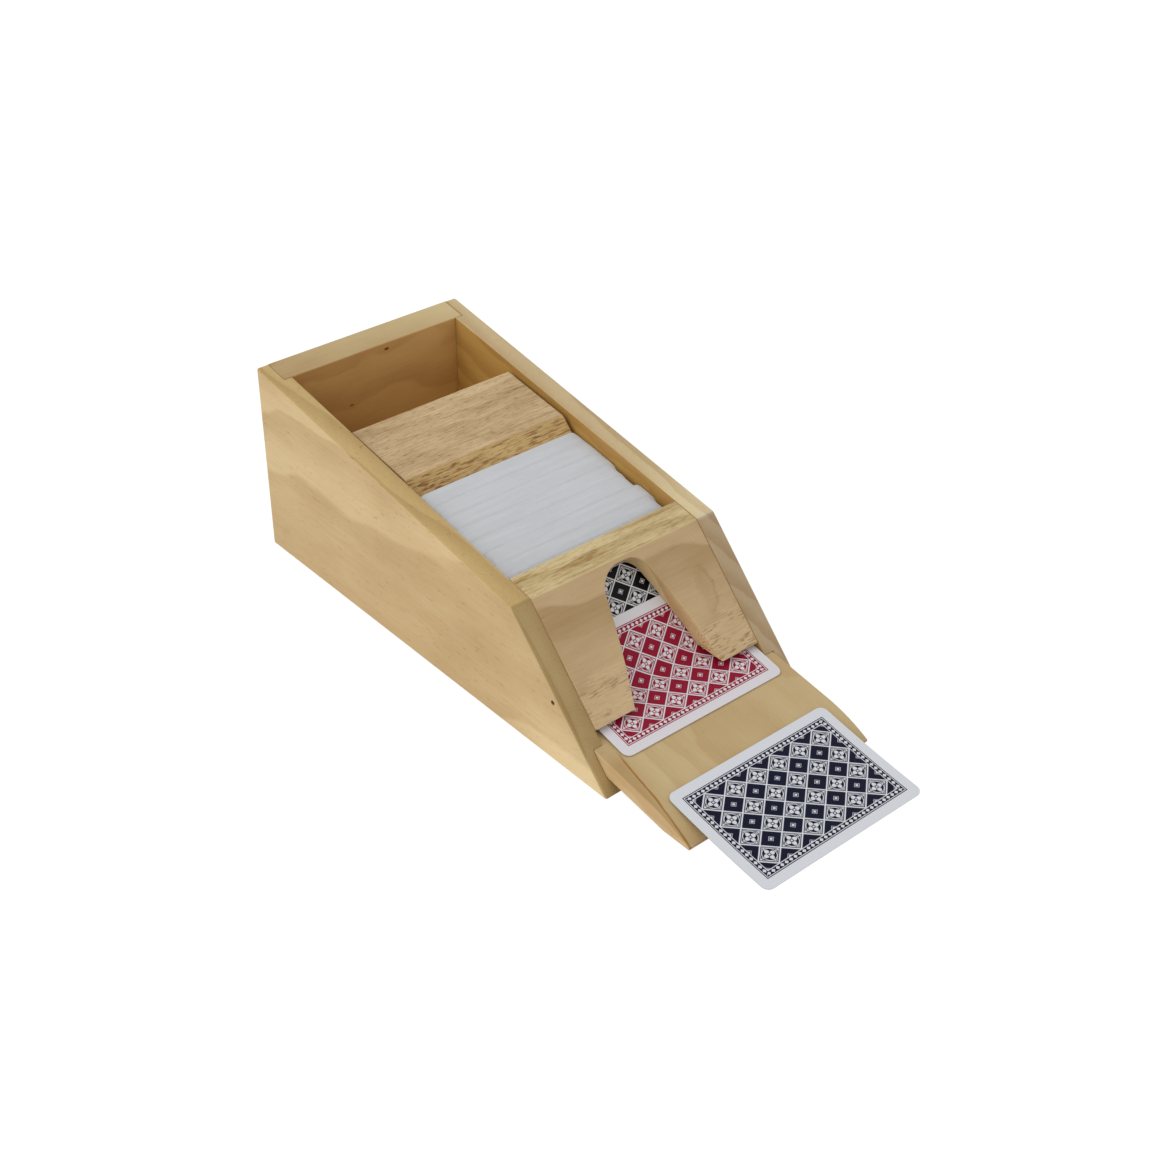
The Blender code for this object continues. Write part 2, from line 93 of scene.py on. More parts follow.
class Wire:
    """A value in a material's node tree; sums and products of wires add nodes to it."""

    def __init__(self, tree, socket):
        self.tree = tree
        self.socket = socket

    def math(self, operation, *others, clamp=False):
        node = self.tree.nodes.new("ShaderNodeMath")
        node.operation = operation
        node.use_clamp = clamp
        for socket, value in zip(node.inputs, (self, *others)):
            plug(self.tree, value, socket)
        return Wire(self.tree, node.outputs[0])

    def __add__(self, other):
        return self.math("ADD", other)

    def __sub__(self, other):
        return self.math("SUBTRACT", other)

    def __mul__(self, other):
        return self.math("MULTIPLY", other)

    def __truediv__(self, other):
        return self.math("DIVIDE", other)

    def least(self, other):
        return self.math("MINIMUM", other)

    def most(self, other):
        return self.math("MAXIMUM", other)

    def size(self):
        return self.math("ABSOLUTE")

    def fraction(self):
        return self.math("FRACT")

    def power(self, exponent):
        return self.math("POWER", exponent)

    def clamped(self):
        return self.math("ADD", 0.0, clamp=True)

    def inverted(self):
        return self * -1 + 1.0

    def step(self, low, high):
        """0 below low, 1 above high, smooth between; a reversed pair falls instead."""
        node = self.tree.nodes.new("ShaderNodeMapRange")
        node.interpolation_type = "SMOOTHSTEP"
        falls = low > high
        plug(self.tree, self, node.inputs["Value"])
        node.inputs["From Min"].default_value = min(low, high)
        node.inputs["From Max"].default_value = max(low, high)
        node.inputs["To Min"].default_value = 1.0 if falls else 0.0
        node.inputs["To Max"].default_value = 0.0 if falls else 1.0
        return Wire(self.tree, node.outputs["Result"])


def plug(tree, value, socket):
    if isinstance(value, Wire):
        tree.links.new(value.socket, socket)
    else:
        socket.default_value = value


def linear(value):
    """A display value, 0 to 255, as a linear share."""
    share = value / 255
    if share <= 0.04045:
        return share / 12.92
    return ((share + 0.055) / 1.055) ** 2.4


def colour(rgb):
    """A display colour, 0 to 255, as a linear colour with alpha."""
    return (*(linear(value) for value in rgb), 1.0)


def mix_colours(tree, factor, first, second, blend="MIX"):
    node = tree.nodes.new("ShaderNodeMix")
    node.data_type = "RGBA"
    node.blend_type = blend
    plug(tree, factor, node.inputs[0])
    # The colour sockets go by number, as the node has others of the same names
    plug(tree, first, node.inputs[6])
    plug(tree, second, node.inputs[7])
    return Wire(tree, node.outputs[2])


def mix_values(factor, first, second):
    """The first value where the factor is 0 and the second where it is 1."""
    return first * factor.inverted() + second * factor


def vector(tree, x, y, z):
    node = tree.nodes.new("ShaderNodeCombineXYZ")
    for socket, value in zip(node.inputs, (x, y, z)):
        plug(tree, value, socket)
    return Wire(tree, node.outputs[0])


def noise(tree, place, detail=2.0, roughness=0.5):
    node = tree.nodes.new("ShaderNodeTexNoise")
    plug(tree, place, node.inputs["Vector"])
    node.inputs["Scale"].default_value = 1.0
    node.inputs["Detail"].default_value = detail
    node.inputs["Roughness"].default_value = roughness
    return Wire(tree, node.outputs["Fac"])


def split(tree, socket, scale=1.0):
    """The three parts of a vector as wires, each times the scale."""
    node = tree.nodes.new("ShaderNodeSeparateXYZ")
    tree.links.new(socket, node.inputs[0])
    return [Wire(tree, output) * scale for output in node.outputs]


def new_material(name, roughness, specular=0.5):
    """A material, its tree and its shader."""
    material = bpy.data.materials.new(name)
    material.use_nodes = True
    tree = material.node_tree
    shader = tree.nodes["Principled BSDF"]
    shader.inputs["Roughness"].default_value = roughness
    shader.inputs["Specular IOR Level"].default_value = specular
    return material, tree, shader


def bump(tree, shader, height, distance, strength=1.0):
    node = tree.nodes.new("ShaderNodeBump")
    node.inputs["Distance"].default_value = distance
    node.inputs["Strength"].default_value = strength
    plug(tree, height, node.inputs["Height"])
    tree.links.new(node.outputs["Normal"], shader.inputs["Normal"])


def near(distance, place, half_width, blur=0.06):
    """1 within half_width of a place, 0 beyond, with a slightly soft edge."""
    return (distance - place).size().step(half_width + blur, half_width - blur)


# Wood

# Sizes of the grain's features, in millimetres along and across it
SWAY_SIZE = (85, 50)
RIPPLE_SIZE = (20, 8)
RIPPLE_SWING = 5
BLOTCH_SIZE = (45, 20)
FIBRE_LENGTH = 22
DASH_BREADTH = 0.48
PORE_SIZE = (0.8, 0.8)

# The parts of a ring's width where it darkens slowly, and where its dark wood ends
LATE_WOOD_RISE = (0.15, 0.9)
LATE_WOOD_END = (1.0, 0.92)

# A knot's form, as multiples of its size
KNOT_LENGTH = 2.2
KNOT_BEND = 2.5
KNOT_BEND_RANGE = (2.6, 0.3)
KNOT_HEART_RANGE = (0.62, 0.25)

PLAIN_TONE = 0.3
DARKEST_TONE = 2.4
DASH_BLUR = 0.07
END_GRAIN_POWER = 3.0
PORE_CONTRAST = 0.5
WOOD_SPECULAR = 0.35
ROUGHNESS_SPREAD = 0.16

# How deep the relief is, and each feature's share in it
GRAIN_DEPTH = 0.00006
RELIEF_STRENGTH = 0.6
FIBRE_RELIEF = 0.5
DASH_RELIEF = 0.6
PORE_RELIEF = 0.4


class Board:
    """How one board's wood looks, with lengths in millimetres and colours from 0 to 255.

    A tone of 0 gives the light colour and 1 the dark one. The heart of the tree lies at a
    place across and through the grain. Each tint is painted light or shade: a direction and
    a colour, which multiplies the faces that look that way and makes them paler where it is
    over 255. Each knot is a place along and across the grain, a size and a darkness. The
    extra is a function that adds the board's own marks to its tone, and on the back panel
    painted shade.
    """

    light = (212, 186, 140)
    dark = (190, 157, 108)
    grain = "Y"
    turn = 0.0
    heart = (-40.0, 60.0)
    drift = 0.04
    wander = 46
    ring_pitch = 9.0
    ring_strength = 0.35
    fibre_strength = 0.3
    fibre_pitch = 0.42
    dash_strength = 0.3
    dash_threshold = 0.66
    dash_length = 6.0
    blotch_strength = 0.3
    end_tint = (214, 196, 184)
    tints = ()
    knots = ()
    seed = 0.0
    roughness = 0.5
    extra = None

    def __init__(self, **facts):
        self.__dict__.update(facts)


class Grain:
    """The places that a board's pattern is worked out from, as wires in millimetres."""

    def __init__(self, tree, board):
        coords = tree.nodes.new("ShaderNodeTexCoord")
        self.tree = tree
        self.x, self.y, self.z = split(tree, coords.outputs["Object"], 1 / MM)
        self.normal = split(tree, coords.outputs["Normal"])
        nx, ny, nz = self.normal
        turned_y = self.y * math.cos(board.turn) + self.z * math.sin(board.turn)
        turned_z = self.z * math.cos(board.turn) - self.y * math.sin(board.turn)
        if board.grain == "X":
            self.along, self.across, self.through = self.x, turned_y, turned_z
            self.end = nx.size()
        else:
            self.along, self.across, self.through = turned_y, turned_z, self.x
            self.end = (ny * math.cos(board.turn) + nz * math.sin(board.turn)).size()

    def facing(self, direction):
        """1 on the faces that look in a direction."""
        parts = [wire * share for wire, share in zip(self.normal, direction)]
        return (parts[0] + parts[1] + parts[2]).step(*FACING_RANGE)

    def stretched(self, seed, lengthwise, crosswise):
        """A place for noise whose features have these lengths along and across the grain.

        The seed moves it, so that no two noises are alike.
        """
        return vector(
            self.tree,
            self.along / lengthwise + seed,
            self.across / crosswise,
            self.through / crosswise,
        )


def ring_tone(grain, board, knot_pull):
    """Growth rings: each darkens slowly to its late wood and ends sharply."""
    tree = grain.tree
    sway = noise(tree, grain.stretched(board.seed, *SWAY_SIZE), 2.0)
    ripple = noise(tree, grain.stretched(board.seed, *RIPPLE_SIZE), 3.0)
    side = grain.across + (sway - 0.5) * board.wander + (ripple - 0.5) * RIPPLE_SWING
    side = side + grain.along * board.drift - board.heart[0] + knot_pull
    deep = grain.through - board.heart[1]
    radius = (side * side + deep * deep).math("SQRT")
    ring = (radius / board.ring_pitch).fraction()
    return ring.step(*LATE_WOOD_RISE) * ring.step(*LATE_WOOD_END)


def knot_marks(grain, board):
    """How much each knot bends the grain, and its dark heart."""
    pull = grain.along * 0
    dark = grain.along * 0
    for along, across, size, darkness in board.knots:
        off_along = (grain.along - along) / (size * KNOT_LENGTH)
        off_across = (grain.across - across) / size
        away = (off_along * off_along + off_across * off_across).math("SQRT")
        pull = pull + away.step(*KNOT_BEND_RANGE) * (size * KNOT_BEND)
        dark = dark.most(away.step(*KNOT_HEART_RANGE) * darkness)
    return pull, dark


def wood(name, **facts):
    """A board's material: tone from rings, blotches, fibres and dashes, then the end grain's tint
    and tints of painted light and shade.
    """
    board = Board(**facts)
    material, tree, shader = new_material(name, board.roughness, WOOD_SPECULAR)
    grain = Grain(tree, board)
    seed = board.seed
    pull, knot = knot_marks(grain, board)
    late = ring_tone(grain, board, pull)

    blotch = noise(tree, grain.stretched(seed * 2, *BLOTCH_SIZE), 3.0)
    fibre_place = grain.stretched(seed * 3, FIBRE_LENGTH, board.fibre_pitch)
    fibre = noise(tree, fibre_place, 4.0, 0.62)
    dash_place = grain.stretched(seed * 5, board.dash_length, DASH_BREADTH)
    threshold = board.dash_threshold
    dash = noise(tree, dash_place, 2.0, 0.45).step(threshold, threshold + DASH_BLUR)

    tone = late * board.ring_strength
    tone = tone + (blotch - 0.5) * 2 * board.blotch_strength
    tone = tone + (fibre - 0.5) * 2 * board.fibre_strength
    tone = tone + dash * board.dash_strength + knot + PLAIN_TONE
    if board.extra:
        tone = tone + board.extra(grain)
    tone = tone.least(DARKEST_TONE)
    base = mix_colours(tree, tone, colour(board.light), colour(board.dark))
    # Tones over 1 go on darkening past the dark colour
    base.socket.node.clamp_factor = False

    pores = noise(tree, grain.stretched(seed, *PORE_SIZE), 3.0)
    pore_share = pores * PORE_CONTRAST + (1 - PORE_CONTRAST / 2)
    end_mask = (grain.end.power(END_GRAIN_POWER) * pore_share).clamped()
    # The end grain's tint, then tints of painted light and shade on faces by the way they look
    tints = [(end_mask, board.end_tint)]
    tints += [(grain.facing(direction), tint) for direction, tint in board.tints]
    for mask, tint in tints:
        filtered = mix_colours(tree, mask, (1.0, 1.0, 1.0, 1.0), colour(tint))
        base = mix_colours(tree, 1.0, base, filtered, "MULTIPLY")
    plug(tree, base, shader.inputs["Base Color"])

    roughness = fibre * ROUGHNESS_SPREAD + (board.roughness - ROUGHNESS_SPREAD / 2)
    plug(tree, roughness, shader.inputs["Roughness"])
    height = fibre * FIBRE_RELIEF - dash * DASH_RELIEF + pores * end_mask * PORE_RELIEF
    bump(tree, shader, height, GRAIN_DEPTH, RELIEF_STRENGTH)
    return material


def dress(node, material):
    """Give a CAD node a material."""
    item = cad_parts[node]
    item.data.materials.clear()
    item.data.materials.append(material)


# Marks of single boards, and painted shade on the back panel, in millimetres

# Along and up the left panel, and along the right one
OUTER_FACE_RANGE = (-0.8, -0.95)
PALE_CORNER_ALONG = (-15, -55)
PALE_CORNER_RISE = (32, 14)
PALE_CORNER_TONE = -0.6
PALE_TOP_ALONG = (25, -15)
PALE_TOP_TONE = -0.55

# Painted shade: tone for each millimetre across the back panel, darker at the left
BACK_PAINTED_SHADE = -0.009

# Across the plate and up its slope
SWIRL_PLACE = (33.0, 56.0)
SWIRL_REACH = (4.2, 11.0)
SWIRL_WAVE = 1.6
SWIRL_TONE = 0.5
SWIRL_HEART_TONE = 0.2
ROUGH_RISE = (47, 41)
ROUGH_SWING = 6
ROUGH_TONE = -0.35
TORN_TONE = 0.9
LONG_LINE_TONE = 0.5
SHORT_LINE_TONE = 0.35

# The follower's worn nose
NOSE_FACING_RANGE = (-0.3, -0.55)
NOSE_PORE_TONE = 0.9

# The line beside the ramp's left edge
LINE_START = -44.9
LINE_DRIFT = 0.118
LINE_SWING = 2.2
LINE_HALF = 0.4
LINE_BLUR = 0.45
LINE_TONE = 1.7
SAPWOOD_EDGE = (0.2, -1.6)
SAPWOOD_TONE = 0.5
RAMP_RANGE = (9, 1)

# Sizes of the marks' noise along and across the grain
TORN_SIZE = (5.0, 0.7)
PATCH_SIZE = (16, 7)
SWIRL_WAVE_SIZE = (9, 7)
LONG_LINE_SIZE = (26, 1.5)
SHORT_LINE_SIZE = (4, 0.5)
NOSE_PORE_SIZE = (7.0, 0.7)
LINE_WAVE_SIZE = (14, 9)


def left_figure(grain):
    """The left panel's paler lower front corner."""
    outer_face = grain.normal[0].step(*OUTER_FACE_RANGE)
    corner = grain.y.step(*PALE_CORNER_ALONG) * grain.z.step(*PALE_CORNER_RISE)
    return corner * outer_face * PALE_CORNER_TONE


def right_figure(grain):
    """The paler front end of the right panel's top."""
    top = grain.normal[2].step(*FACING_RANGE)
    return grain.y.step(*PALE_TOP_ALONG) * top * PALE_TOP_TONE


def plate_figure(grain):
    """The plate's own marks: rough sawn lines low down and along its top, and a swirl."""
    tree = grain.tree
    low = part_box("front_plate")[0]
    foot_y = low.y / MM - low.z / MM / math.tan(LEAN)
    rise = (grain.y - foot_y) * math.cos(LEAN) + grain.z * math.sin(LEAN)
    torn = noise(tree, grain.stretched(4.0, *TORN_SIZE), 3.0, 0.6).step(0.5, 0.6)
    patchy = noise(tree, grain.stretched(8.0, *PATCH_SIZE), 2.0).step(0.4, 0.6)
    low_zone = (rise + (patchy - 0.5) * ROUGH_SWING).step(*ROUGH_RISE)
    lines = torn * low_zone * (patchy + 0.25) * TORN_TONE + low_zone * ROUGH_TONE
    swirl_x = (grain.x - SWIRL_PLACE[0]) / SWIRL_REACH[0]
    swirl_rise = (rise - SWIRL_PLACE[1]) / SWIRL_REACH[1]
    away = (swirl_x * swirl_x + swirl_rise * swirl_rise).math("SQRT")
    wave = noise(tree, grain.stretched(5.0, *SWIRL_WAVE_SIZE), 3.0) - 0.5
    away = away + wave * SWIRL_WAVE
    open_side = (swirl_x - swirl_rise * 0.6).step(-0.9, 0.9)
    swirl = near(away, 1.0, 0.1, 0.35) * open_side * SWIRL_TONE
    swirl = swirl + away.step(1.0, 0.3) * SWIRL_HEART_TONE
    top = grain.normal[2].step(*FACING_RANGE)
    wavy = noise(tree, grain.stretched(1.0, *LONG_LINE_SIZE), 3.0, 0.7).step(0.5, 0.62)
    short = noise(tree, grain.stretched(6.0, *SHORT_LINE_SIZE), 2.0, 0.5).step(0.5, 0.62)
    top_lines = (wavy * LONG_LINE_TONE + short * SHORT_LINE_TONE) * top
    return lines + top_lines + swirl


def follower_figure(grain):
    """Longer and darker pores where the follower's worn nose cuts across them."""
    tree = grain.tree
    nose = grain.normal[1].step(*NOSE_FACING_RANGE)
    pores = noise(tree, grain.stretched(3.0, *NOSE_PORE_SIZE), 3.0, 0.6).step(0.48, 0.62)
    return (pores - 0.3) * nose * NOSE_PORE_TONE


def back_painted_shade(grain):
    """Painted shade: the back panel is darker at the left and grows a little paler to the right.
    """
    return grain.x * BACK_PAINTED_SHADE


def floor_figure(grain):
    """A dark grain line beside the ramp's left edge, and the redder sapwood outside it."""
    tree = grain.tree
    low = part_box("left_side_panel")[0]
    ramp_along = (grain.y - low.y / MM) / math.cos(FLOOR_TILT)
    sway = (noise(tree, grain.stretched(2.0, *LINE_WAVE_SIZE), 2.0) - 0.5) * LINE_SWING
    line_x = ramp_along * LINE_DRIFT + LINE_START + sway
    off = grain.x - line_x
    reach = ramp_along.step(*RAMP_RANGE)
    line = near(off, 0.0, LINE_HALF, LINE_BLUR) * LINE_TONE
    sapwood = off.step(*SAPWOOD_EDGE) * SAPWOOD_TONE
    return (line + sapwood) * reach


def left_wood():
    return wood(
        "pine_left",
        light=(229, 201, 150),
        dark=(198, 165, 113),
        heart=(30.0, -260.0),
        ring_pitch=9.0,
        ring_strength=0.5,
        drift=0.16,
        seed=3.1,
        dash_strength=0.9,
        dash_threshold=0.66,
        dash_length=5.0,
        fibre_strength=0.42,
        blotch_strength=0.5,
        # Painted shade: the top, the front edge and the inner face darker than the lit outer face
        tints=(
            (UP_SLOPE, (236, 232, 209)),
            (UP_FRONT, (226, 226, 212)),
            (TO_RIGHT, (240, 228, 200)),
        ),
        extra=left_figure,
    )


def right_wood():
    return wood(
        "pine_right",
        light=(214, 186, 135),
        dark=(180, 144, 92),
        heart=(150.0, 180.0),
        ring_pitch=8.0,
        ring_strength=0.42,
        wander=30,
        drift=-0.2,
        seed=7.7,
        dash_strength=0.6,
        dash_threshold=0.68,
        # Painted light, paler and bluer, on the top and front edge, and painted shade on the inner
        # face
        tints=(
            (UP_SLOPE, (261, 270, 285)),
            (UP_FRONT, (247, 257, 285)),
            (TO_LEFT, (246, 227, 178)),
        ),
        extra=right_figure,
    )


def back_wood():
    return wood(
        "pine_back",
        grain="X",
        turn=math.radians(90),
        light=(205, 172, 121),
        dark=(176, 137, 88),
        heart=(150.0, -190.0),
        ring_pitch=16.0,
        ring_strength=0.35,
        wander=40,
        blotch_strength=0.45,
        dash_threshold=0.68,
        seed=11.3,
        knots=((5.8, 88.3, 1.3, 2.6), (-15.3, 66.0, 1.1, 1.4)),
        # Painted light on the top, and painted shade, warmer and darker, on the inner face
        tints=((UP_SLOPE, (262, 277, 288)), (TO_FRONT, (262, 250, 222))),
        # Painted shade, darker towards the left
        extra=back_painted_shade,
    )


def floor_wood():
    return wood(
        "pine_floor",
        turn=FLOOR_TILT,
        light=(211, 187, 139),
        dark=(190, 158, 108),
        heart=(90.0, 30.0),
        ring_pitch=10.0,
        drift=0.05,
        seed=5.2,
        dash_strength=0.6,
        dash_threshold=0.68,
        dash_length=3.0,
        blotch_strength=0.42,
        # Painted light: the ramp's left side made paler
        tints=((TO_LEFT, (285, 288, 298)),),
        extra=floor_figure,
    )


def plate_wood():
    return wood(
        "pine_plate",
        grain="X",
        turn=LEAN,
        light=(211, 182, 138),
        dark=(172, 138, 93),
        heart=(-20.0, 160.0),
        ring_pitch=11.0,
        ring_strength=0.5,
        drift=0.12,
        seed=2.4,
        dash_strength=0.4,
        dash_threshold=0.68,
        blotch_strength=0.5,
        # Painted light: the end grain, seen on the arch's walls, made paler than the face grain
        end_tint=(286, 291, 286),
        # Painted light on the top
        tints=((UP_SLOPE, (272, 286, 282)),),
        extra=plate_figure,
    )


def follower_wood():
    return wood(
        "rubberwood",
        grain="X",
        turn=FLOOR_TILT,
        light=(224, 197, 152),
        dark=(160, 124, 80),
        ring_pitch=12.0,
        ring_strength=0.15,
        fibre_strength=0.75,
        fibre_pitch=0.55,
        dash_strength=0.42,
        dash_threshold=0.57,
        dash_length=4.2,
        blotch_strength=0.5,
        seed=9.9,
        extra=follower_figure,
        # Painted shade on the faces that look up and to the front
        tints=((UP_FRONT, (232, 220, 190)),),
        roughness=0.6,
    )


def make_wood():
    dress("left_side_panel", left_wood())
    dress("right_side_panel", right_wood())
    dress("back_panel", back_wood())
    dress("floor_board", floor_wood())
    dress("front_plate", plate_wood())
    dress("follower_block", follower_wood())


def make_brads():
    """Dulled steel with a little rust."""
    material, tree, shader = new_material("brad_steel", 0.45)
    coords = tree.nodes.new("ShaderNodeTexCoord")
    x, y, z = split(tree, coords.outputs["Object"], 1 / MM)
    rust = noise(tree, vector(tree, x * 2, y * 2, z * 2), 3.0)
    shader.inputs["Metallic"].default_value = 0.85
    tone = mix_colours(tree, rust.step(0.4, 0.6), colour((96, 84, 70)), colour((60, 46, 36)))
    plug(tree, tone, shader.inputs["Base Color"])
    dress("plate_brad_left", material)
    dress("plate_brad_right", material)


# Meshes


def new_object(name, builder, materials):
    """An object with the built mesh and these materials."""
    mesh = bpy.data.meshes.new(name)
    builder.to_mesh(mesh)
    builder.free()
    for material in materials:
        mesh.materials.append(material)
    item = bpy.data.objects.new(name, mesh)
    bpy.context.collection.objects.link(item)
    return item


def add_prism(builder, first, second):
    """The closed solid between two like rings of points."""
    builder.faces.new(first)
    builder.faces.new(list(reversed(second)))
    for step in range(len(first)):
        after = (step + 1) % len(first)
        builder.faces.new((first[after], first[step], second[step], second[after]))


# Glue in the joints

GLUE_RECESS = 0.00006
GLUE_THICKNESS = 0.00026
CORNER_PULL = 1.6


def meet(first, first_angle, second, second_angle):
    """Where two lines in the side view meet, each given by a (y, z) point and an angle."""
    run_y = math.cos(second_angle)
    run_z = math.sin(second_angle)
    cross = math.cos(first_angle) * run_z - math.sin(first_angle) * run_y
    reach = ((second[0] - first[0]) * run_z - (second[1] - first[1]) * run_y) / cross
    y = first[0] + math.cos(first_angle) * reach
    return y, first[1] + math.sin(first_angle) * reach


def plate_outline():
    """The front plate's side view, from its box and its three slopes."""
    low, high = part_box("front_plate")
    foot = (low.y, low.z)
    crest = (high.y, high.z)
    top_front = meet(foot, LEAN, crest, TOP_SLOPE)
    bottom_rear = meet(foot, FLOOR_TILT, crest, LEAN)
    return [foot, top_front, crest, bottom_rear]


def back_outline():
    """The back panel's side view, its top planed to the slope of the sides."""
    low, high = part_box("back_panel")
    front_top = high.z - (high.y - low.y) * math.tan(TOP_SLOPE)
    return [(low.y, low.z), (low.y, front_top), (high.y, high.z), (high.y, low.z)]


def shrunk(outline, margin):
    """The outline drawn in by about the margin, its corners farther than its edges."""
    middle_y = sum(point[0] for point in outline) / len(outline)
    middle_z = sum(point[1] for point in outline) / len(outline)
    points = []
    for y, z in outline:
        away = Vector((y - middle_y, z - middle_z))
        kept = away * (1 - CORNER_PULL * margin / away.length)
        points.append((middle_y + kept.x, middle_z + kept.y))
    return points


def glue_sheet(name, outline, x, material):
    """A thin sheet of glue that fills the gap beside a board's end."""
    builder = bmesh.new()
    rings = []
    for side in (-0.5, 0.5):
        place = x + side * GLUE_THICKNESS
        rings.append([builder.verts.new((place, y, z)) for y, z in shrunk(outline, GLUE_RECESS)])
    add_prism(builder, *rings)
    bmesh.ops.recalc_face_normals(builder, faces=builder.faces[:])
    sheet = new_object(name, builder, (material,))
    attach(sheet, "shoe")


def make_glue():
    """Sheets of glue in the gaps at both ends of the plate and of the back panel."""
    glue = wood("glue_line", light=(200, 168, 120), dark=(176, 142, 96), seed=6.6, roughness=0.7)
    for node, outline in (("front_plate", plate_outline()), ("back_panel", back_outline())):
        low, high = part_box(node)
        glue_sheet(node + "_glue_left", outline, low.x - SEAT_GAP / 2, glue)
        glue_sheet(node + "_glue_right", outline, high.x + SEAT_GAP / 2, glue)


# Printed cards

# Rows of points in a card's round corners and between them, and columns across it
CORNER_ROWS = 8
MIDDLE_ROWS = 44
CARD_COLUMNS = 14

# A card's materials are its printed side, its face and this
RIM = 2

# Keeps the bowed card inside the CAD model's box
SET_BACK = 0.00001

TONE_SPREAD = 5
INK_SPREAD = 7
CLOUD_STRETCH = (0.04, 0.4, 0.4)
MOTTLE_SCALE = 0.9
PRINT_EDGE_BLUR = 0.05

# The design, in millimetres: a line has a place and half a width, an edge two ends
PRINT_HALF_LONG = 39.4
PRINT_HALF_SHORT = 24.05
BAND_WIDTH = 3.1
BAND_OUTER_LINE = (0.55, 0.16)
BAND_INNER_LINE = (BAND_WIDTH - 0.1, 0.24)
BAND_MIDDLE = (BAND_WIDTH + 0.5) / 2
BAND_PITCH_LONG = PRINT_HALF_LONG * 2 / 33
BAND_PITCH_SHORT = PRINT_HALF_SHORT * 2 / 20
BAND_LOZENGE_HALF = 0.86
BAND_LOZENGE_SHARE = 0.4
LOZENGE_LONG = 12.1
LOZENGE_SHORT = 10.475
TRELLIS_EDGE = (0.34, 0.24)
INNER_LINE = (0.78, 0.1)
PETAL_COUNT = 4
PETAL_REACH = 2.1
PETAL_SWING = 0.55
PETAL_START = (0.8, 0.92)
HEART_EDGE = (0.52, 0.4)
RING_LINE = (3.0, 0.13)
BEAD_COUNT = 8
BEAD_LINE = (3.46, 0.2)
CORNER_PLACE = 4.45
CORNER_EDGE = (0.7, 0.6)
CORNER_NARROWING = 1.3
STUD_EDGE = (0.85, 0.75)
STUD_LINE = (1.45, 0.12)
STUD_NARROWING = 1.15


def card_stock(name, white):
    """Plain coated card, faintly clouded along its edges."""
    material, tree, shader = new_material(name, 0.42, 0.4)
    coords = tree.nodes.new("ShaderNodeTexCoord")
    wires = split(tree, coords.outputs["Object"], 1 / MM)
    place = [wire * share for wire, share in zip(wires, CLOUD_STRETCH)]
    cloud = noise(tree, vector(tree, *place), 3.0)
    darker = tuple(value - TONE_SPREAD for value in white)
    tone = mix_colours(tree, cloud.step(0.3, 0.7), colour(white), colour(darker))
    plug(tree, tone, shader.inputs["Base Color"])
    return material


def printed_back(name, ink, white):
    """A card back: a white border, a band of small lozenges and a field of large ones."""
    material, tree, shader = new_material(name, 0.4, 0.12)
    uv = tree.nodes.new("ShaderNodeUVMap")
    uv.uv_map = "card_mm"
    across, up = split(tree, uv.outputs[0])[:2]
    x = across - CARD_LONG / MM / 2
    y = up - CARD_SHORT / MM / 2
    from_end = x.size() * -1 + PRINT_HALF_LONG
    from_side = y.size() * -1 + PRINT_HALF_SHORT
    inset = from_end.least(from_side)
    panel = inset.step(-PRINT_EDGE_BLUR, PRINT_EDGE_BLUR)
    field = inset.step(BAND_WIDTH - PRINT_EDGE_BLUR, BAND_WIDTH + PRINT_EDGE_BLUR)
    on_long = (from_end - from_side).step(-PRINT_EDGE_BLUR, PRINT_EDGE_BLUR)
    white_parts = mix_values(field, band_print(x, y, inset, on_long), field_print(x, y))
    printed = panel * white_parts.inverted()
    mottle = noise(tree, vector(tree, x * MOTTLE_SCALE, y * MOTTLE_SCALE, 0.0), 3.0)
    lighter = tuple(value + INK_SPREAD for value in ink)
    ink_tone = mix_colours(tree, mottle.step(0.35, 0.7), colour(ink), colour(lighter))
    plug(tree, mix_colours(tree, printed, colour(white), ink_tone), shader.inputs["Base Color"])
    return material


def band_print(x, y, inset, on_long):
    """White parts of the band round the field: two lines with a row of lozenges between."""
    lines = near(inset, *BAND_OUTER_LINE).most(near(inset, *BAND_INNER_LINE))
    across_band = (inset - BAND_MIDDLE).size() / BAND_LOZENGE_HALF
    row_long = ((x / BAND_PITCH_LONG).fraction() - 0.5).size() / BAND_LOZENGE_SHARE
    row_short = ((y / BAND_PITCH_SHORT).fraction() - 0.5).size() / BAND_LOZENGE_SHARE
    row = mix_values(on_long, row_short, row_long)
    return lines.most((row + across_band).step(1.08, 0.92))


